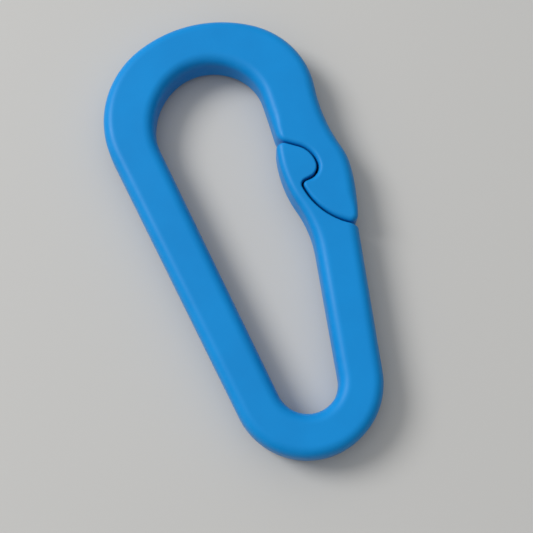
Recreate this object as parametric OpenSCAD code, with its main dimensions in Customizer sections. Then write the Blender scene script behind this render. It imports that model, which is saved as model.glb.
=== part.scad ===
// Carabiner keyring: one moulded loop whose lower right limb is a gate that bends inwards.
// It lies flat on z = 0 with its long axis along Y and the gate on the +X side.

/* [Section] */
// Thickness of the moulding
thick = 7.2; // [6:0.1:9]
// Radius on the long edges
edge_r = 2; // [1:0.1:2.2]

/* [Base bow] */
// Outer radius of the base bow
base_r = 12.7; // [12.2:0.1:13]
// Width of the moulding round the base bow
base_w = 7.4; // [7.2:0.1:7.6]
// Turn of the base bow from gate to spine
base_turn = 161.5; // [161:0.1:162]

/* [Spine] */
// Straight length of the spine along its outer edge
spine_len = 49.8; // [49.4:0.1:50.2]
// Straight length of the spine along its inner edge
spine_in_len = 47.4; // [47:0.1:47.8]
// Widening of the spine towards the top
spine_flare = 0.9; // [0.7:0.1:1.1]

/* [Top bow] */
// Outer radius of the corner above the spine
corner_r = 17.2; // [17:0.1:17.4]
// Turn of the corner above the spine
corner_turn = 75.7; // [75:0.1:76.5]
// Outer radius of the crown
crown_r = 22.7; // [22.4:0.1:23]
// Turn of the crown
crown_turn = 54.5; // [54:0.1:55]
// Inner radius of the bow beside the spine
bow_in_r = 11.9; // [11.7:0.1:12.1]
// Inner turn of the bow beside the spine
bow_in_turn = 68.3; // [68:0.1:68.6]
// Inner radius of the crown
crown_in_r = 9.6; // [9.5:0.1:9.8]
// Inner turn of the crown
crown_in_turn = 78.7; // [78.4:0.1:79]
// Outer radius of the shoulder
shoulder_r = 14.8; // [14.5:0.1:15.1]
// Turn of the shoulder
shoulder_turn = 65.8; // [65:0.1:66.5]
// Inner radius of the bow beside the nose
loft_r = 8.9; // [8.8:0.1:9]

/* [Nose] */
// Radius of the hollow above the nose
waist_r = 30.5; // [30:0.5:31]
// Turn of the hollow above the nose
waist_turn = 23.2; // [23:0.1:23.4]
// Radius of the nose's swell
swell_r = 10.9; // [10.5:0.1:11.3]
// Turn of the nose's swell
swell_turn = 19.3; // [19:0.1:19.6]
// Radius of the nose below its swell
tip_r = 33.6; // [33:0.2:34.4]
// Turn of the nose below its swell
tip_turn = 18.7; // [18.4:0.1:19]
// Radius of the nose's inner corner at the seam
mouth_r = 4.2; // [4.1:0.1:4.4]

/* [Seam] */
// Gap between the closed gate and the nose
seam_gap = 0.4; // [0.3:0.05:0.5]
// Radius of the gate head's end
lobe_r = 2.2; // [2:0.1:2.4]
// Radius of the gate head's upper flank
flank_r = 4.6; // [4.4:0.1:4.8]
// Radius of the gate head's crest
crest_r = 2.1; // [2:0.1:2.3]
// Length of the tooth's flat top
tooth_len = 1.2; // [1:0.1:1.4]
// Slope of the tooth's flat top
tooth_rake = 11.7; // [10:0.1:13]
// Radius of the tooth's tip
tooth_r = 0.9; // [0.7:0.1:1.1]
// Radius of the long curve below the tooth
sweep_r = 12.25; // [12:0.05:12.5]

/* [Gate] */
// Lean of the gate's outer edge
gate_lean = 9.6; // [9.4:0.1:9.8]
// Lean of the gate's inner edge
gate_in_lean = 8.5; // [8.3:0.1:8.7]
// Straight inner edge of the gate
gate_in_len = 22.2; // [22:0.1:22.4]
// Radius of the hollow inside the gate arm
dip_r = 20.6; // [20:0.2:21.2]
// Turn of the hollow inside the gate arm
dip_turn = 24.4; // [24:0.1:24.8]
// Radius of the inside of the gate head
cheek_r = 22.2; // [21.6:0.2:22.8]
// Turn of the inside of the gate head
cheek_turn = 30; // [29.5:0.1:30.5]

/* [Bending] */
// Distance from the gate's root to the first bending line
bend_start = 1; // [0.8:0.1:1.5]
// Distance between bending lines
bend_pitch = 5; // [4.8:0.1:5.2]
// Radius of the rounded end of each bending length
knuckle_r = 4.1; // [4.05:0.05:4.3]
// Clearance round each rounded end
knuckle_gap = 0.15; // [0.1:0.05:0.25]

/* [Hidden] */
$fn = 96;
plastic = [0.106, 0.553, 0.827];

// Depth of the band swept along an edge: two of them overlap inside a limb
limb_reach = 5;
nose_reach = 6.5;
tooth_reach = 9.6;
// Half size of the blocks that divide the loop into nodes
far = 60;
limb_span = 13;
// Height of the nose's inner corner, its turn, and the straight inner edge drawn above it
mouth_y = 17;
mouth_turn = 55;
mouth_lead = 10;
// Outer edge of the gate: from its root to just below the seam, and as far as it is drawn
wrist_len = 25.15;
gate_out_len = 36;
// Direction from the gate head's end to the centre of its upper flank
flank_turn = 178;
// Corners of the nose's solid middle, from the centre of the tooth's tip
core_corners = [[-1.5, 2], [-1.5, -8], [3.7, -8], [5.7, 0], [4.7, 11]];
// Angle and length by which an edge is swept past the plane that trims it
overrun = 8;
overlap = 3;

// A place is [x, y, heading]; a run is [radius, turn] for an arc or [0, length] for a straight
function ahead(a) = [cos(a), sin(a)];
function left(a) = [-sin(a), cos(a)];
function side(run) = run[1] < 0 ? -1 : 1;
function centre(at, run) = [at.x, at.y] + side(run) * run[0] * left(at[2]);
function along(at, d) = [at.x, at.y] + d * ahead(at[2]);
function past_arc(at, run, h) =
    concat(centre(at, run) - side(run) * run[0] * left(h), h);
function past(at, run) =
    run[0] == 0 ? concat(along(at, run[1]), at[2]) : past_arc(at, run, at[2] + run[1]);
function place(at, runs, n) = n == 0 ? at : past(place(at, runs, n - 1), runs[n - 1]);

// Outer edge, clockwise from the gate's root to the nose's tip, with the moulding on its right
root_out = [13.12, -29.6, -90 - gate_lean];
out_runs = [
    [base_r, -base_turn], [0, spine_len], [corner_r, -corner_turn], [crown_r, -crown_turn],
    [shoulder_r, -shoulder_turn], [waist_r, waist_turn], [swell_r, -swell_turn],
    [tip_r, -tip_turn],
];
spine_low = place(root_out, out_runs, 1);
spine_top = place(root_out, out_runs, 2);
shoulder_end = place(root_out, out_runs, 5);
// Inner edge from the foot of the spine round to the nose, with the moulding on its left
foot_in = concat(
    [spine_low.x, spine_low.y] - base_w * left(spine_low[2]), spine_low[2] - spine_flare);
loft_turn = foot_in[2] - bow_in_turn - crown_in_turn + 450;
in_runs = [
    [0, spine_in_len], [bow_in_r, -bow_in_turn], [crown_in_r, -crown_in_turn],
    [loft_r, -loft_turn],
];
loft_end = place(foot_in, in_runs, 4);
mouth = [loft_end.x, mouth_y, -90];
mouth_run = [mouth_r, mouth_turn];
// Gate edges, upwards from the root
gate_out = [root_out.x, root_out.y, 90 - gate_lean];
gate_in = concat([root_out.x, root_out.y] - base_w * left(root_out[2]), 90 - gate_in_lean);
gate_in_runs = [[0, gate_in_len], [dip_r, dip_turn], [cheek_r, -cheek_turn]];
// Ends of the gate's zones: where the inner edge hollows, below the seam, where the head begins
arm_end = place(gate_in, gate_in_runs, 1);
wrist = concat(along(gate_out, wrist_len), gate_out[2]);
neck = place(gate_in, gate_in_runs, 2);

// Seam circles, each tangent to the next
lobe = [11.8, 8.13];
flank = lobe + (flank_r - lobe_r) * ahead(flank_turn);
crest = [8.95, 11.5];
tooth_down = ahead(tooth_rake - 90);
tooth_back = ahead(tooth_rake - 180);
tooth = lobe + lobe_r * tooth_down + tooth_len * tooth_back + tooth_r * tooth_down;
sweep_angle = 9.5;
sweep = tooth + (sweep_r - tooth_r) * ahead(sweep_angle);

// The outline is centred on the origin from its four outermost arcs
base_c = centre(root_out, out_runs[0]);
corner_c = centre(place(root_out, out_runs, 2), out_runs[2]);
crown_c = centre(place(root_out, out_runs, 3), out_runs[3]);
swell_c = centre(place(root_out, out_runs, 6), out_runs[6]);
middle = [
    (corner_c.x - corner_r + swell_c.x + swell_r) / 2,
    (crown_c.y + crown_r + base_c.y - base_r) / 2,
];

// Bending lines, on the middle of the gate limb
root_mid = ([gate_out.x, gate_out.y] + [gate_in.x, gate_in.y]) / 2;
gate_up = 90 - (gate_lean + gate_in_lean) / 2;
function bend(n) = root_mid + (bend_start + (n - 1) * bend_pitch) * ahead(gate_up);

module centred() {
    translate([-middle.x, -middle.y, 0]) children();
}

// Section of one edge: rounded top and bottom at x = 0, solid as far as reach
module edge_section(reach) {
    translate([edge_r, 0]) square([reach - edge_r, thick]);
    translate([0, edge_r]) square([reach, thick - 2 * edge_r]);
    translate([edge_r, edge_r]) circle(edge_r);
    translate([edge_r, thick - edge_r]) circle(edge_r);
}

module turned_section(reach, turned) {
    if (turned) mirror([1, 0]) edge_section(reach);
    else edge_section(reach);
}

// Whole section of a limb of width w, rounded on both edges
module limb_section(w) {
    translate([edge_r, 0]) square([w - 2 * edge_r, thick]);
    translate([0, edge_r]) square([w, thick - 2 * edge_r]);
    for (x = [edge_r, w - edge_r], z = [edge_r, thick - edge_r]) translate([x, z]) circle(edge_r);
}

// The section swept along one run; material is 1 where the moulding is on the left, else -1
module band(at, run, material, reach) {
    if (run[0] == 0)
        translate([at.x, at.y, 0]) rotate([0, 0, at[2]]) rotate([90, 0, 90])
            linear_extrude(run[1]) turned_section(reach, material < 0);
    else {
        c = centre(at, run);
        inward = side(run) == material;
        from = at[2] - 90 * side(run);
        translate([c.x, c.y, 0]) rotate([0, 0, min(from, from + run[1])])
            rotate_extrude(angle = abs(run[1]))
            translate([run[0], 0]) turned_section(inward ? min(reach, run[0] - 0.1) : reach, inward);
    }
}

// One arc of a chain of runs, swept past both its ends by the overrun angle
module long_band(at, runs, n, material, reach) {
    from = place(at, runs, n);
    turn = side(runs[n]) * overrun;
    band(past_arc(from, runs[n], from[2] - turn), runs[n] + [0, 2 * turn], material, reach);
}

module bands(at, runs, first, last, material, reach) {
    for (n = [first:last]) band(place(at, runs, n), runs[n], material, reach);
}

// Everything on the far side of a line through p with heading a, to its left
module left_block(p, a) {
    translate([p.x, p.y, -1]) rotate([0, 0, a]) translate([-far, 0, 0])
        cube([2 * far, far, thick + 2]);
}

// Plan of the gate head's side of the seam, grown by g
module head_plan(g) {
    steep = ahead(acos((crest_r - flank_r) / norm(flank - crest))
        + atan2(flank.y - crest.y, flank.x - crest.x));
    translate(crest) circle(crest_r + g);
    intersection() {
        translate(flank) circle(flank_r + g);
        translate([flank.x - far, flank.y]) square([2 * far, far]);
    }
    translate(lobe) circle(lobe_r + g);
    polygon([crest, crest + (crest_r + g) * steep, flank + (flank_r + g) * steep, flank]);
    translate([crest.x - far, crest.y - crest_r]) square([far, 2 * crest_r + g]);
    foot = lobe + (lobe_r + g) * tooth_down;
    polygon([lobe, foot, foot + far * tooth_back, crest - [far, 0]]);
}

// Plan of the nose's side of the seam, shrunk by g
module nose_plan(g) {
    r = tooth_r - g;
    tooth_front = -ahead(sweep_angle);
    difference() {
        union() {
            translate(sweep) circle(sweep_r - g);
            translate([crest.x - far, crest.y]) square([2 * far, far]);
        }
        head_plan(g);
        difference() {
            polygon([
                tooth, tooth - r * tooth_down,
                tooth + 1.6 * r * (tooth_front - tooth_down), tooth + r * tooth_front,
            ]);
            translate(tooth) circle(r);
        }
    }
}

module nose_side(g) {
    translate([0, 0, -1]) linear_extrude(thick + 2) nose_plan(g);
}

// Solid middle of the nose, between its edge bands
module nose_core() {
    mouth_c = centre(mouth, mouth_run);
    mouth_end = past(mouth, mouth_run);
    corners = [for (c = core_corners) tooth + c];
    linear_extrude(thick) polygon(concat([mouth_c, [mouth_end.x, mouth_end.y]], corners));
}

// A block across the limb, from the place on its outer edge for length l (backwards if negative)
module limb_block(at, l) {
    translate([at.x, at.y, -1]) rotate([0, 0, at[2]]) translate([min(l, 0), -limb_span, 0])
        cube([abs(l), limb_span + overlap, thick + 2]);
}

// Straight stretch of the gate, run on past its root and its neck
module gate_straight() {
    band(concat(along(gate_out, -overlap), gate_out[2]), [0, gate_out_len], 1, limb_reach);
    band(concat(along(gate_in, -overlap), gate_in[2]), [0, gate_in_len + 2 * overlap],
        -1, limb_reach);
}

module bend_disc(n, r) {
    translate([bend(n).x, bend(n).y, -1]) cylinder(r = r, h = thick + 2);
}

module below_bend(n) {
    left_block(bend(n), gate_up + 90);
    bend_disc(n, knuckle_r);
}

// The gate limb above bending line n, with its hollow end
module above_bend(n) {
    difference() {
        intersection() {
            gate_straight();
            left_block(bend(n), gate_up - 90);
        }
        bend_disc(n, knuckle_r + knuckle_gap);
    }
}

// One bending length, from line n to the rounded end on line n + 1
module flex(n) {
    color(plastic) centred() intersection() {
        above_bend(n);
        union() below_bend(n + 1);
    }
}

module base_bow() {
    c = centre(root_out, out_runs[0]);
    color(plastic) centred() translate([c.x, c.y, 0]) rotate([0, 0, root_out[2] + 90 - base_turn])
        rotate_extrude(angle = base_turn) translate([base_r - base_w, 0]) limb_section(base_w);
}

module spine() {
    color(plastic) centred() intersection() {
        union() {
            band(spine_low, out_runs[1], -1, limb_reach);
            band(concat(along(foot_in, -overlap), foot_in[2]), [0, spine_in_len + overlap],
                1, limb_reach);
            bands(foot_in, in_runs, 1, 1, 1, limb_reach);
        }
        limb_block(spine_low, spine_len);
    }
}

// One arc of the top bow: outer run n and inner run n - 1, trimmed across the ends of the outer run
module bow(n, reach) {
    from = place(root_out, out_runs, n);
    to = place(root_out, out_runs, n + 1);
    color(plastic) centred() intersection() {
        union() {
            long_band(root_out, out_runs, n, -1, reach);
            long_band(foot_in, in_runs, n - 1, 1, reach);
        }
        left_block(from, from[2] - 90);
        left_block(to, to[2] + 90);
    }
}

module corner() {
    bow(2, limb_reach);
}

module crown() {
    bow(3, limb_reach);
}

module shoulder() {
    bow(4, nose_reach);
}

module waist() {
    to = place(root_out, out_runs, 6);
    color(plastic) centred() intersection() {
        union() {
            band(shoulder_end, out_runs[5], -1, nose_reach);
            band(mouth + [0, mouth_lead, 0], [0, mouth_lead], 1, nose_reach);
            band(mouth, mouth_run, 1, nose_reach);
            nose_core();
        }
        left_block(shoulder_end, shoulder_end[2] - 90);
        left_block(to, to[2] + 90);
        nose_side(seam_gap / 2);
    }
}

module nose() {
    from = place(root_out, out_runs, 6);
    color(plastic) centred() intersection() {
        bands(root_out, out_runs, 6, 7, -1, tooth_reach);
        left_block(from, from[2] - 90);
        nose_side(seam_gap / 2);
    }
}

module gate_root() {
    color(plastic) centred() intersection() {
        gate_straight();
        left_block(gate_out, gate_out[2] - 90);
        union() below_bend(1);
    }
}

module gate_flex_1() {
    flex(1);
}

module gate_flex_2() {
    flex(2);
}

module gate_flex_3() {
    flex(3);
}

module gate_arm() {
    color(plastic) centred() intersection() {
        above_bend(4);
        left_block(arm_end, arm_end[2] + 90);
    }
}

module gate_wrist() {
    color(plastic) centred() intersection() {
        union() {
            band(gate_out, [0, gate_out_len], 1, limb_reach);
            long_band(gate_in, gate_in_runs, 1, -1, limb_reach);
        }
        left_block(arm_end, arm_end[2] - 90);
        left_block(wrist, wrist[2] + 90);
    }
}

module gate_neck() {
    color(plastic) centred() difference() {
        intersection() {
            long_band(gate_in, gate_in_runs, 1, -1, tooth_reach);
            left_block(wrist, wrist[2] - 90);
            left_block(neck, neck[2] + 90);
        }
        nose_side(-seam_gap / 2);
    }
}

module gate_head() {
    color(plastic) centred() difference() {
        intersection() {
            long_band(gate_in, gate_in_runs, 2, -1, nose_reach);
            left_block(neck, neck[2] - 90);
        }
        nose_side(-seam_gap / 2);
    }
}

base_bow();
spine();
corner();
crown();
shoulder();
waist();
nose();
gate_root();
gate_flex_1();
gate_flex_2();
gate_flex_3();
gate_arm();
gate_wrist();
gate_neck();
gate_head();
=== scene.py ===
"""Looks of the carabiner keyring: a blue moulding, its gate limb cut into pieces between the
bending lines, on a pale floor.

Edges are worked out in plan as points (x, y, nx, ny), where (nx, ny) points out of the plastic.
A fifth value on a point is the radius that rounds the edge over onto the flat faces.
"""

import bisect
import math

import bpy
from mathutils import Matrix, Vector


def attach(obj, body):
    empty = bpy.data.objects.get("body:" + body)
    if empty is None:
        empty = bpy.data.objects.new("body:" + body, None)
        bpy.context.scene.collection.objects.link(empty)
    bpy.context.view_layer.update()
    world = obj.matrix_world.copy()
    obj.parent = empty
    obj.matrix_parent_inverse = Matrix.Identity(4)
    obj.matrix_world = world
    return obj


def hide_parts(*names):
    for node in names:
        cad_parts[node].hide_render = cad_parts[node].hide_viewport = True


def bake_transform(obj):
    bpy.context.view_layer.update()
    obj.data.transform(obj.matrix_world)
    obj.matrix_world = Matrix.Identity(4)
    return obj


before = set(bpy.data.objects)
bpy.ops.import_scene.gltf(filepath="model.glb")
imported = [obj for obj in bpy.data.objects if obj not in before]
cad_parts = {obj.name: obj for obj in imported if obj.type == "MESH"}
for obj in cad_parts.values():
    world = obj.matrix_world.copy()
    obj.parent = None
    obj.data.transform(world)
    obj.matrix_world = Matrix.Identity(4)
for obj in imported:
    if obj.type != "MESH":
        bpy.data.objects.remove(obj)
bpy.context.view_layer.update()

MM = 0.001

# ---------------------------------------------------------------- dimensions, mm and degrees
THICK = 7.2
EDGE_R = 2.0

# Base bow and spine
BASE_R = 12.7
BASE_W = 7.4
BASE_TURN = 161.5
SPINE_LEN = 49.8
SPINE_IN_LEN = 47.4
SPINE_FLARE = 0.9

# Top bow
CORNER_R = 17.2
CORNER_TURN = 75.7
CROWN_R = 22.7
CROWN_TURN = 54.5
SHOULDER_R = 14.8
SHOULDER_TURN = 65.8
BOW_IN_R = 11.9
BOW_IN_TURN = 68.3
CROWN_IN_R = 9.6
CROWN_IN_TURN = 78.7
LOFT_R = 8.9

# Nose
WAIST_R = 30.5
WAIST_TURN = 23.2
SWELL_R = 10.9
SWELL_TURN = 19.3
TIP_R = 33.6
TIP_TURN = 18.7
MOUTH_R = 2.3

# Seam between the nose and the gate's head. The crest's and the sweep's arcs run on past the
# corners that cut them.
GAP = 0.4
LOBE = (11.8, 8.13)
LOBE_R = 2.2
CREST = (8.95, 11.5)
CREST_R = 2.1
CREST_START = 150
FLANK_R = 4.6
FLANK_TURN = 178
TOOTH_LEN = 1.2
TOOTH_RAKE = 11.7
TOOTH_R = 0.9
SWEEP_R = 12.25
SWEEP_ANGLE = 9.5
SWEEP_TURN = 70

# Gate. Its outer edge and the inside of its head run on past the corners that cut them.
ROOT = (13.12, -29.6)
GATE_LEAN = 9.6
GATE_OUT_LEN = 30
GATE_IN_LEAN = 8.5
GATE_IN_LEN = 22.2
DIP_R = 20.6
DIP_TURN = 24.4
CHEEK_R = 22.2
CHEEK_TURN = 42

# Middle of the moulding, which lies on the frame's origin
MIDDLE = (-0.0873, -0.0614)

# Rounding of the long edges where it isn't EDGE_R, and lengths over which it changes
NOSE_SEAM_R = 0.8
NOSE_TOOTH_R = 0.5
NOSE_FOOT_R = 0.95
NOSE_TIP_R = 1.05
NOSE_TIP_REACH = 4.5
MOUTH_EDGE_R = 1.5
MOUTH_REACH = 3.5
GATE_SEAM_R = 0.3
HEAD_EDGE_R = 1.35
HEAD_TAPER = 9.0

# Corners in plan
NOSE_CORNER_R = 1.2
GATE_CORNER_R = 0.5

# Bending lines up the gate limb from its root, and the cuts halfway between them
BEND_START = 1.0
BEND_PITCH = 5.0
BENDS = [BEND_START + i * BEND_PITCH for i in range(4)]
CUTS = [bend + BEND_PITCH / 2 for bend in BENDS[:3]]

# Mesh density: longest step and largest turn along an edge, levels round a rounded edge, and
# points round a corner
STEP = 0.28
STEP_TURN = 4.0
ROUND_STEPS = 9
CORNER_STEPS = 8

# Two levels closer than this share of the rounding are drawn as one
LEVEL_SPACING = 0.035

# Width of the ring that ends a rounded edge's shading on the flat face
FLAT_RING = 0.08

# Points either side over which the narrowed rounding on the gate's inside is evened out
SMOOTHING = 6

# Length beside a corner over which points slide along as the corner moves in
SLIDE = 4.0

# Points closer than these to the one before, or to an edge's end, are left out
SAME_POINT = 1e-3
NEAR_END = 0.02

# Lines whose directions cross by less than this count as parallel
PARALLEL = 1e-12

# Heading straight down, after one full turn clockwise
DOWN = -450


# ---------------------------------------------------------------- plan geometry
# A run is (radius, turn) for an arc, with left turns positive, or (0, length) for a straight.
# A place on an edge is (x, y, heading).
def ahead(a):
    """Unit vector at an angle."""
    return math.cos(math.radians(a)), math.sin(math.radians(a))


def add(p, q, k=1.0):
    return p[0] + k * q[0], p[1] + k * q[1]


def dot(p, q):
    return p[0] * q[0] + p[1] * q[1]


def side(run):
    """1 for a run that turns left, -1 for one that turns right."""
    return -1 if run[1] < 0 else 1


def centre(at, run):
    return add(at, ahead(at[2] + 90), side(run) * run[0])


def past(at, run):
    """The place at the end of a run that starts at a place."""
    if run[0] == 0:
        return (*add(at, ahead(at[2]), run[1]), at[2])
    heading = at[2] + run[1]
    return (*add(centre(at, run), ahead(heading + 90), -side(run) * run[0]), heading)


def arc(c, radius, a0, a1, facing):
    """Points on an arc round c; facing is 1 if the plastic is on the same side as c, else -1."""
    turn = abs(a1 - a0)
    count = max(2, math.ceil(turn / STEP_TURN), math.ceil(math.radians(turn) * radius / STEP))
    points = []
    for i in range(count + 1):
        d = ahead(a0 + (a1 - a0) * i / count)
        points.append((*add(c, d, radius), facing * d[0], facing * d[1]))
    return points


def straight(p, q, normal):
    count = max(1, math.ceil(math.dist(p, q) / STEP))
    return [
        (p[0] + (q[0] - p[0]) * i / count, p[1] + (q[1] - p[1]) * i / count, *normal)
        for i in range(count + 1)
    ]


def chain(at, runs, material):
    """Points along each run; material is 1 if the plastic is on the left of travel, else -1."""
    pieces = []
    for run in runs:
        if run[0] == 0:
            pieces.append(straight(at[:2], past(at, run)[:2], ahead(at[2] - 90 * material)))
        else:
            start = at[2] - 90 * side(run)
            facing = 1 if side(run) == material else -1
            pieces.append(arc(centre(at, run), run[0], start, start + run[1], facing))
        at = past(at, run)
    return pieces


def joined(pieces):
    """One list from several, without doubled points."""
    points = []
    for piece in pieces:
        for p in piece:
            if not points or math.dist(points[-1][:2], p[:2]) > SAME_POINT:
                points.append(p)
    return points


def backwards(points):
    return points[::-1]


def measured(edge):
    """Distance along an edge to each of its points."""
    lengths = [0.0]
    for p, q in zip(edge, edge[1:]):
        lengths.append(lengths[-1] + math.dist(p[:2], q[:2]))
    return lengths


def crossing(a, b):
    """Where polyline a first crosses polyline b: (index on a, share, index on b, share, point)."""
    for i in range(len(a) - 1):
        ax, ay = a[i]
        dx, dy = a[i + 1][0] - ax, a[i + 1][1] - ay
        for j in range(len(b) - 1):
            bx, by = b[j]
            ex, ey = b[j + 1][0] - bx, b[j + 1][1] - by
            det = ex * dy - dx * ey
            if abs(det) < PARALLEL:
                continue
            s = (ex * (by - ay) - ey * (bx - ax)) / det
            t = (dx * (by - ay) - dy * (bx - ax)) / det
            if 0 <= s <= 1 and 0 <= t <= 1:
                return i, s, j, t, (ax + s * dx, ay + s * dy)
    raise ValueError("the two edges don't meet")


def mixed(p, q, share):
    """A point between two others, with its normal."""
    x, y = p[0] + share * (q[0] - p[0]), p[1] + share * (q[1] - p[1])
    nx, ny = p[2] + share * (q[2] - p[2]), p[3] + share * (q[3] - p[3])
    length = math.hypot(nx, ny)
    return x, y, nx / length, ny / length


def rounded(a, b, radius):
    """Edges a and b cut back where they meet, with the corner that joins them in between."""
    inner_a = [(x - radius * nx, y - radius * ny) for x, y, nx, ny in a]
    inner_b = [(x - radius * nx, y - radius * ny) for x, y, nx, ny in b]
    i, s, j, t, c = crossing(inner_a[::-1], inner_b)
    i = len(a) - 1 - i
    end = mixed(a[i], a[i - 1], s)
    start = mixed(b[j], b[j + 1], t)
    a0 = math.degrees(math.atan2(end[3], end[2]))
    a1 = math.degrees(math.atan2(start[3], start[2]))
    while a1 > a0:
        a1 -= 360
    return a[:i] + [end], arc(c, radius, a0, a1, 1), [start] + b[j + 1 :]


# ---------------------------------------------------------------- edges of the moulding
# Outside, clockwise from the gate's root: base bow, spine, corner, crown, shoulder, waist, nose
ROOT_OUT = (*ROOT, -90 - GATE_LEAN)
OUT_RUNS = [
    (BASE_R, -BASE_TURN),
    (0, SPINE_LEN),
    (CORNER_R, -CORNER_TURN),
    (CROWN_R, -CROWN_TURN),
    (SHOULDER_R, -SHOULDER_TURN),
    (WAIST_R, WAIST_TURN),
    (SWELL_R, -SWELL_TURN),
    (TIP_R, -TIP_TURN),
]

# Inside, from the spine's foot up and over; the last arc ends with the edge going down
spine_low = past(ROOT_OUT, OUT_RUNS[0])
foot_in = (*add(spine_low, ahead(spine_low[2] + 90), -BASE_W), spine_low[2] - SPINE_FLARE)
LOFT_TURN = foot_in[2] - BOW_IN_TURN - CROWN_IN_TURN - DOWN
IN_RUNS = [
    (0, SPINE_IN_LEN),
    (BOW_IN_R, -BOW_IN_TURN),
    (CROWN_IN_R, -CROWN_IN_TURN),
    (LOFT_R, -LOFT_TURN),
]
loft_end = foot_in
for in_run in IN_RUNS:
    loft_end = past(loft_end, in_run)

# Feet of the gate limb's edges, and the line up its middle
gate_out = (*ROOT, 90 - GATE_LEAN)
gate_in = (*add(ROOT_OUT, ahead(ROOT_OUT[2] + 90), -BASE_W), 90 - GATE_IN_LEAN)
GATE_UP = 90 - (GATE_LEAN + GATE_IN_LEAN) / 2
root_mid = ((gate_out[0] + gate_in[0]) / 2, (gate_out[1] + gate_in[1]) / 2)

# Centres of the seam's arcs, and the direction square to its straight upper slope
flank = add(LOBE, ahead(FLANK_TURN), FLANK_R - LOBE_R)
tooth_down = ahead(TOOTH_RAKE - 90)
tooth_back = ahead(TOOTH_RAKE - 180)
tooth_top = add(LOBE, tooth_down, LOBE_R)
tooth = add(add(tooth_top, tooth_back, TOOTH_LEN), tooth_down, TOOTH_R)
sweep = add(tooth, ahead(SWEEP_ANGLE), SWEEP_R - TOOTH_R)
STEEP = math.degrees(
    math.acos((CREST_R - FLANK_R) / math.dist(flank, CREST))
    + math.atan2(flank[1] - CREST[1], flank[0] - CREST[0])
)


def seam_edges(g, facing):
    """The seam from the head's crest down to the outside, moved by g from its middle towards the
    nose; facing is 1 for the gate's side and -1 for the nose's."""
    slope_n = ahead(STEEP)
    lobe_end = TOOTH_RAKE - 90
    sweep_start = 180 + SWEEP_ANGLE
    foot = add(LOBE, tooth_down, LOBE_R + g)
    heel = add(foot, tooth_back, TOOTH_LEN)
    return {
        "crest": arc(CREST, CREST_R + g, CREST_START, STEEP, facing),
        "slope": straight(
            add(CREST, slope_n, CREST_R + g),
            add(flank, slope_n, FLANK_R + g),
            (facing * slope_n[0], facing * slope_n[1]),
        ),
        "flank": arc(flank, FLANK_R + g, STEEP, FLANK_TURN - 180, facing),
        "lobe": arc(LOBE, LOBE_R + g, FLANK_TURN - 180, lobe_end, facing),
        "top": straight(foot, heel, (facing * tooth_down[0], facing * tooth_down[1])),
        "tooth": arc(tooth, TOOTH_R - g, 90 + TOOTH_RAKE, sweep_start, -facing),
        "sweep": arc(sweep, SWEEP_R - g, sweep_start, sweep_start + SWEEP_TURN, -facing),
    }


def with_radius(points, r0, r1=None, over=None, at_end=True):
    """Adds a rounding radius to each point: r0, turning smoothly to r1 over the whole edge, or
    over only that length at its end, or at its start if at_end is false."""
    r1 = r0 if r1 is None else r1
    lengths = measured(points)
    total = lengths[-1]
    over = min(over or total, total)
    result = []
    for p, d in zip(points, lengths):
        share = (d - (total - over)) / over if at_end else d / over
        share = min(max(share, 0), 1)
        share = share * share * (3 - 2 * share)
        result.append((*p, r0 + (r1 - r0) * share))
    return result


def frame_boundary():
    """Outline of the whole fixed frame, clockwise from the gate's root."""
    *outer, nose_outside = chain(ROOT_OUT, OUT_RUNS, -1)
    inner = chain(foot_in, IN_RUNS, 1)
    seam = seam_edges(GAP / 2, -1)
    tip, corner, low = rounded(nose_outside, backwards(seam["sweep"]), NOSE_CORNER_R)

    slope_n = ahead(STEEP)
    reach = dot(CREST, slope_n) + CREST_R + GAP / 2
    mouth_x = loft_end[0] + MOUTH_R
    mouth_y = (reach + MOUTH_R - slope_n[0] * mouth_x) / slope_n[1]
    slope_start = add((mouth_x, mouth_y), slope_n, -MOUTH_R)
    slope_end = seam["flank"][0][:2]
    slope = straight(slope_end, slope_start, (-slope_n[0], -slope_n[1]))
    mouth = arc((mouth_x, mouth_y), MOUTH_R, 180 + STEEP, 180, 1)
    waist = straight((loft_end[0], mouth_y), loft_end[:2], (-1, 0))

    base_start = ROOT_OUT[2] + 90
    base_middle = centre(ROOT_OUT, OUT_RUNS[0])
    base_in = arc(base_middle, BASE_R - BASE_W, base_start - BASE_TURN, base_start, -1)

    parts = [with_radius(p, EDGE_R) for p in outer]
    parts.append(with_radius(tip, EDGE_R, NOSE_TIP_R, over=NOSE_TIP_REACH))
    parts.append(with_radius(corner, NOSE_TIP_R, NOSE_FOOT_R))
    parts.append(with_radius(low, NOSE_FOOT_R, NOSE_TOOTH_R))
    parts.append(with_radius(backwards(seam["tooth"]), NOSE_TOOTH_R))
    parts.append(with_radius(backwards(seam["top"]), NOSE_TOOTH_R, NOSE_SEAM_R))
    parts.append(with_radius(backwards(seam["lobe"]), NOSE_SEAM_R))
    parts.append(with_radius(backwards(seam["flank"]), NOSE_SEAM_R))
    parts.append(with_radius(slope, NOSE_SEAM_R))
    parts.append(with_radius(mouth, NOSE_SEAM_R, MOUTH_EDGE_R))
    parts.append(with_radius(waist, MOUTH_EDGE_R, EDGE_R, over=MOUTH_REACH, at_end=False))
    parts += [with_radius(backwards(p), EDGE_R) for p in backwards(inner)]
    parts.append(with_radius(base_in, EDGE_R))
    return joined(parts)


def on_cut(at, d):
    """The point of a gate edge that lies d up the limb, in the plane across the limb."""
    up = ahead(GATE_UP)
    here = dot(add(at, root_mid, -1), up)
    return add(at, ahead(at[2]), (d - here) / dot(ahead(at[2]), up))


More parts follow.
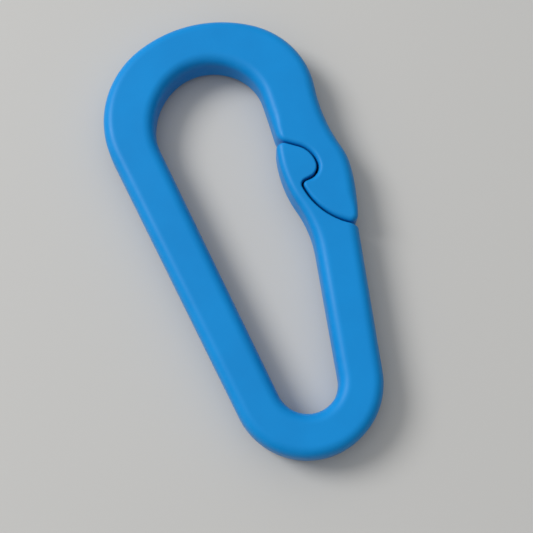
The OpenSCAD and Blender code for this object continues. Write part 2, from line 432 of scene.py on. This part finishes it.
def gate_edges(d0, d1):
    """Inner edge going up and outer edge going down, between two distances up the limb.

    From the root if d0 is None; the inner edge then draws in along the root's cut, as the
    frame's does, so the two stay together."""
    low_in = gate_in[:2] if d0 is None else on_cut(gate_in, d0)
    low_out = gate_out[:2] if d0 is None else on_cut(gate_out, d0)
    inner = straight(low_in, on_cut(gate_in, d1), ahead(gate_in[2] + 90))
    outer = straight(on_cut(gate_out, d1), low_out, ahead(gate_out[2] - 90))
    if d0 is None:
        inner[0] = (*low_in, *ahead(gate_out[2] + 90))
    return [[with_radius(inner, EDGE_R)], [with_radius(outer, EDGE_R)]]


def tip_edges():
    """Edges of the gate above the last cut: up its inside, down the seam, down its outside."""
    seam = joined(seam_edges(-GAP / 2, 1).values())
    arm_end = past(gate_in, (0, GATE_IN_LEN))
    arm = straight(on_cut(gate_in, CUTS[-1]), arm_end[:2], ahead(gate_in[2] + 90))
    inner = joined([arm, *chain(arm_end, [(DIP_R, DIP_TURN), (CHEEK_R, -CHEEK_TURN)], -1)])
    outer_top = add(gate_out, ahead(gate_out[2]), GATE_OUT_LEN)
    outer = straight(outer_top, on_cut(gate_out, CUTS[-1]), ahead(gate_out[2] - 90))

    # The inside's rounding tapers towards the head, and leaves room for the seam's at the neck,
    # where the gate is thinnest. The seam's first quarter, which meets the inside, isn't measured.
    below_crest = seam[len(seam) // 4 :]
    free = []
    for p in inner:
        rise = min(max((p[1] - arm_end[1]) / HEAD_TAPER, 0), 1)
        room = min(math.dist(p[:2], q[:2]) for q in below_crest) - GATE_SEAM_R - 3 * FLAT_RING
        free.append(min(EDGE_R + (HEAD_EDGE_R - EDGE_R) * rise, room))
    narrowed = []
    for i in range(len(inner)):
        near = free[max(0, i - SMOOTHING) : i + SMOOTHING + 1]
        narrowed.append(sum(near) / len(near))
    return [
        [(*p, radius) for p, radius in zip(inner, narrowed)],
        with_radius(seam, GATE_SEAM_R),
        with_radius(outer, EDGE_R),
    ]


# ---------------------------------------------------------------- meshes
def depths():
    """Depths below the flat face at which the rounded edges are drawn, shallowest first."""
    found = {0.0}
    for radius in (GATE_SEAM_R, NOSE_SEAM_R, EDGE_R):
        for i in range(1, ROUND_STEPS + 1):
            depth = radius * (1 - ahead(90 * i / ROUND_STEPS)[0])
            if all(abs(depth - other) > LEVEL_SPACING * radius for other in found):
                found.add(depth)
    return sorted(found)


def inset(radius, depth):
    """How far a rounded edge has drawn in from the wall at a depth below the flat face."""
    if depth >= radius:
        return 0.0
    return radius - math.sqrt(radius * radius - (radius - depth) ** 2)


def rim(radius, depth):
    """1 on the middle of a rounded edge, 0 on the wall and on the flat face."""
    share = min(depth / radius, 1)
    return 4 * share * (1 - share)


def drawn_in(edge, depth, more):
    """An edge's points at a depth, moved in by a further distance."""
    moved = []
    for x, y, nx, ny, radius in edge:
        d = inset(radius, depth) + more
        moved.append((x - d * nx, y - d * ny))
    return moved


def point_at(edge, lengths, d):
    """The edge's point, normal and radius at a distance along it."""
    i = min(max(bisect.bisect_right(lengths, d) - 1, 0), len(edge) - 2)
    share = (d - lengths[i]) / (lengths[i + 1] - lengths[i])
    p, q = edge[i], edge[i + 1]
    return (*mixed(p, q, share), p[4] + share * (q[4] - p[4]))


def meeting(one, two, depth, more):
    """Where two edges meet at a depth: distance along each and the corner's centre."""
    a = drawn_in(one, depth, more + GATE_CORNER_R)
    b = drawn_in(two, depth, more + GATE_CORNER_R)
    i, s, j, t, c = crossing(a[::-1], b)
    i = len(one) - 1 - i
    la, lb = measured(one), measured(two)
    return la[i] - s * (la[i] - la[i - 1]), lb[j] + t * (lb[j + 1] - lb[j]), c


def contours(edges):
    """Height and outline of each level, from the bottom face to the top one, of edges that meet
    at small rounded corners. Every outline has the same number of points (x, y, rim)."""
    lengths = [measured(edge) for edge in edges]
    pairs = list(zip(edges, edges[1:]))
    wall = [meeting(a, b, THICK, 0.0) for a, b in pairs]
    half = []
    for depth, more in [(0.0, FLAT_RING)] + [(d, 0.0) for d in depths()]:
        meets = [meeting(a, b, depth, more) for a, b in pairs]
        outline = []
        for k, edge in enumerate(edges):
            # The edge's ends on the wall, and at this level
            start0, end0 = 0.0, lengths[k][-1]
            start, end = start0, end0
            if k > 0:
                start0, start = wall[k - 1][1], meets[k - 1][1]
            if k < len(meets):
                end0, end = wall[k][0], meets[k][0]
            kept = [d for d in lengths[k] if start0 + NEAR_END < d < end0 - NEAR_END]
            for d in [start0, *kept, end0]:
                if d < start0 + SLIDE:
                    d = start + (d - start0) * (start0 + SLIDE - start) / SLIDE
                elif d > end0 - SLIDE:
                    d = end - (end0 - d) * (end - (end0 - SLIDE)) / SLIDE
                x, y, nx, ny, radius = point_at(edge, lengths[k], d)
                in_by = inset(radius, depth) + more
                outline.append((x - in_by * nx, y - in_by * ny, rim(radius, depth)))
            if k < len(meets):
                a = point_at(edge, lengths[k], meets[k][0])
                b = point_at(edges[k + 1], lengths[k + 1], meets[k][1])
                a0 = math.degrees(math.atan2(a[3], a[2]))
                a1 = math.degrees(math.atan2(b[3], b[2]))
                a1 -= 360 if a1 > a0 else 0
                for i in range(1, CORNER_STEPS):
                    d = ahead(a0 + (a1 - a0) * i / CORNER_STEPS)
                    corner = add(meets[k][2], d, GATE_CORNER_R)
                    outline.append((*corner, rim(GATE_SEAM_R, depth)))
        half.append((depth, outline))
    return half + [(THICK - depth, outline) for depth, outline in reversed(half)]


def placed(name, data):
    """A new object in the scene."""
    obj = bpy.data.objects.new(name, data)
    bpy.context.scene.collection.objects.link(obj)
    return obj


def moulding(name, chains):
    """A closed mesh from chains of edges: rounded walls, flat faces, and a cap with sharp edges
    from the end of each chain to the start of the next."""
    verts, rims, faces, columns = [], [], [], []
    for edges in chains:
        levels = contours(edges)
        column = [[] for _ in levels[0][1]]
        for z, outline in levels:
            for ring, (x, y, worn) in zip(column, outline):
                ring.append(len(verts))
                rims.append(worn)
                verts.append(((x - MIDDLE[0]) * MM, (y - MIDDLE[1]) * MM, z * MM))
        columns.append(column)
    for column in columns:
        for one, two in zip(column, column[1:]):
            for k in range(len(one) - 1):
                faces.append((one[k], one[k + 1], two[k + 1], two[k]))
    around = [ring for column in columns for ring in column]
    faces.append(tuple(ring[0] for ring in around))
    faces.append(tuple(ring[-1] for ring in reversed(around)))
    first_cap = len(faces)
    for here, there in zip(columns, columns[1:] + columns[:1]):
        faces.append(tuple(here[-1] + there[0][::-1]))

    mesh = bpy.data.meshes.new(name)
    mesh.from_pydata(verts, [], faces)
    mesh.validate()
    mesh.attributes.new("rim", "FLOAT", "POINT").data.foreach_set("value", rims)
    mesh.shade_smooth()
    cap_edges = set()
    for face in faces[first_cap:]:
        for a, b in zip(face, face[1:] + face[:1]):
            cap_edges.add((min(a, b), max(a, b)))
    sharp = mesh.attributes.new("sharp_edge", "BOOLEAN", "EDGE")
    for edge in mesh.edges:
        a, b = edge.vertices
        sharp.data[edge.index].value = (min(a, b), max(a, b)) in cap_edges
    for polygon in mesh.polygons[first_cap:]:
        polygon.use_smooth = False
    return placed(name, mesh)


# ---------------------------------------------------------------- material
BLUE_DEEP = (0.0010, 0.237, 0.620)
BLUE_LIGHT = (0.0014, 0.262, 0.672)
BLUE_WORN = (0.030, 0.330, 0.760)
IOR = 1.46
SPECULAR = 0.22
ROUGHNESS = (0.37, 0.47)
MOST_WORN = 0.28

# Strength and height in metres of each bump
GRAIN = (0.06, 0.00006)
WAVES = (0.05, 0.0004)

# Values between which most of a noise lies
NOISE_RANGE = (0.3, 0.7)

# Colour sockets of a Mix node
MIX_A, MIX_B, MIX_RESULT = 6, 7, 2


def plastic():
    """Satin blue moulded plastic: slight mottling, fine grain, paler worn edges."""
    material = bpy.data.materials.new("blue_plastic")
    material.use_nodes = True
    nodes, links = material.node_tree.nodes, material.node_tree.links
    shader = nodes["Principled BSDF"]
    shader.inputs["IOR"].default_value = IOR
    shader.inputs["Specular IOR Level"].default_value = SPECULAR
    place = nodes.new("ShaderNodeTexCoord")

    def noise(scale, detail, roughness):
        node = nodes.new("ShaderNodeTexNoise")
        node.inputs["Scale"].default_value = scale
        node.inputs["Detail"].default_value = detail
        node.inputs["Roughness"].default_value = roughness
        links.new(place.outputs["Object"], node.inputs["Vector"])
        return node.outputs["Fac"]

    def ranged(value, low, high):
        node = nodes.new("ShaderNodeMapRange")
        node.inputs["From Min"].default_value = NOISE_RANGE[0]
        node.inputs["From Max"].default_value = NOISE_RANGE[1]
        node.inputs["To Min"].default_value = low
        node.inputs["To Max"].default_value = high
        links.new(value, node.inputs["Value"])
        return node.outputs["Result"]

    def bump(height, strength, distance):
        node = nodes.new("ShaderNodeBump")
        node.inputs["Strength"].default_value = strength
        node.inputs["Distance"].default_value = distance
        links.new(height, node.inputs["Height"])
        return node

    mottle = nodes.new("ShaderNodeValToRGB")
    stops = zip(mottle.color_ramp.elements, NOISE_RANGE, (BLUE_DEEP, BLUE_LIGHT))
    for stop, position, tone in stops:
        stop.position = position
        stop.color = (*tone, 1.0)
    links.new(noise(scale=90, detail=4, roughness=0.55), mottle.inputs["Fac"])

    on_rim = nodes.new("ShaderNodeAttribute")
    on_rim.attribute_name = "rim"
    worn = nodes.new("ShaderNodeMath")
    worn.operation = "MULTIPLY"
    links.new(on_rim.outputs["Fac"], worn.inputs[0])
    patches = noise(scale=420, detail=5, roughness=0.7)
    links.new(ranged(patches, 0.0, MOST_WORN), worn.inputs[1])

    colour = nodes.new("ShaderNodeMix")
    colour.data_type = "RGBA"
    links.new(worn.outputs["Value"], colour.inputs["Factor"])
    links.new(mottle.outputs["Color"], colour.inputs[MIX_A])
    colour.inputs[MIX_B].default_value = (*BLUE_WORN, 1.0)
    links.new(colour.outputs[MIX_RESULT], shader.inputs["Base Color"])

    sheen = noise(scale=260, detail=5, roughness=0.6)
    links.new(ranged(sheen, *ROUGHNESS), shader.inputs["Roughness"])

    grain = bump(noise(scale=2600, detail=3, roughness=0.6), *GRAIN)
    waves = bump(noise(scale=120, detail=2, roughness=0.5), *WAVES)
    links.new(grain.outputs["Normal"], waves.inputs["Normal"])
    links.new(waves.outputs["Normal"], shader.inputs["Normal"])
    return material


# ---------------------------------------------------------------- pieces
blue = plastic()


def finished(obj):
    obj.data.materials.append(blue)
    return obj


body = finished(moulding("frame_moulding", [[frame_boundary()]]))
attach(body, "frame")
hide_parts("base_bow", "spine", "corner", "crown", "shoulder", "waist", "nose")

flex_a = finished(moulding("gate_root_limb", gate_edges(None, CUTS[0])))
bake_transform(flex_a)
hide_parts("gate_root", "gate_flex_1")

flex_b = finished(moulding("gate_lower_limb", gate_edges(CUTS[0], CUTS[1])))
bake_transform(flex_b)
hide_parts("gate_flex_2")

flex_c = finished(moulding("gate_middle_limb", gate_edges(CUTS[1], CUTS[2])))
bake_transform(flex_c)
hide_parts("gate_flex_3")

tip = finished(moulding("gate_moulding", [tip_edges()]))
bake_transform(tip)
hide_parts("gate_arm", "gate_wrist", "gate_neck", "gate_head")

# ---------------------------------------------------------------- floor, light, camera
FLOOR_REACH = 4.0
FLOOR_DROP = 0.00005
FLOOR_COLOUR = (0.56, 0.55, 0.53, 1)
FLOOR_ROUGHNESS = 0.85

# Direction of the bright side of the room, how bright it and the rest are, and the cosine
# between a direction and WINDOW at which the rest begins
WINDOW = (-0.17, 0.22, 0.96)
ROOM_COLOUR = (0.96, 0.98, 1.0, 1)
ROOM_BRIGHT = 0.86
ROOM_DIM = 0.06
ROOM_TURNS_DIM = 0.15

# Key light, aimed at the origin
KEY_SIZE = 0.42
KEY_POWER = 5.2
KEY_PLACE = (-0.50, 0.42, 0.62)

# Camera, tilted about 14 degrees from straight above
SENSOR = 36
LENS = 75.98
NEAR_CLIP = 0.01
CAMERA_PLACE = (-0.0161500, -0.0509756, 0.1912531)
RIGHT = Vector((0.95264657, -0.30387329, 0.01120461))
UP = Vector((0.29186088, 0.92408563, 0.24674474))

floor_mesh = bpy.data.meshes.new("floor")
floor_corners = [
    (-FLOOR_REACH, -FLOOR_REACH, 0),
    (FLOOR_REACH, -FLOOR_REACH, 0),
    (FLOOR_REACH, FLOOR_REACH, 0),
    (-FLOOR_REACH, FLOOR_REACH, 0),
]
floor_mesh.from_pydata(floor_corners, [], [(0, 1, 2, 3)])
floor = placed("floor", floor_mesh)
floor.location.z = -FLOOR_DROP
pale = bpy.data.materials.new("floor_pale")
pale.use_nodes = True
pale_shader = pale.node_tree.nodes["Principled BSDF"]
pale_shader.inputs["Base Color"].default_value = FLOOR_COLOUR
pale_shader.inputs["Roughness"].default_value = FLOOR_ROUGHNESS
floor_mesh.materials.append(pale)

world = bpy.data.worlds.new("studio")
bpy.context.scene.world = world
world.use_nodes = True
sky = world.node_tree
sky.nodes["Background"].inputs["Color"].default_value = ROOM_COLOUR
direction = sky.nodes.new("ShaderNodeTexCoord")
towards = sky.nodes.new("ShaderNodeVectorMath")
towards.operation = "DOT_PRODUCT"
towards.inputs[1].default_value = WINDOW
glow = sky.nodes.new("ShaderNodeMapRange")
glow.inputs["From Min"].default_value = ROOM_TURNS_DIM
glow.inputs["To Min"].default_value = ROOM_DIM
glow.inputs["To Max"].default_value = ROOM_BRIGHT
sky.links.new(direction.outputs["Generated"], towards.inputs[0])
sky.links.new(towards.outputs["Value"], glow.inputs["Value"])
sky.links.new(glow.outputs["Result"], sky.nodes["Background"].inputs["Strength"])

key_light = bpy.data.lights.new("key", "AREA")
key_light.shape = "DISK"
key_light.size = KEY_SIZE
key_light.energy = KEY_POWER
key = placed("key", key_light)
key.location = KEY_PLACE
key.rotation_euler = (-Vector(KEY_PLACE)).to_track_quat("-Z", "Y").to_euler()

camera = bpy.data.cameras.new("camera")
camera.sensor_width = SENSOR
camera.lens = LENS
camera.clip_start = NEAR_CLIP
view = placed("camera", camera)
BACK = RIGHT.cross(UP)
view.matrix_world = Matrix((
    (RIGHT.x, UP.x, BACK.x, CAMERA_PLACE[0]),
    (RIGHT.y, UP.y, BACK.y, CAMERA_PLACE[1]),
    (RIGHT.z, UP.z, BACK.z, CAMERA_PLACE[2]),
    (0, 0, 0, 1),
))
bpy.context.scene.camera = view
bpy.context.scene.view_settings.view_transform = "Standard"
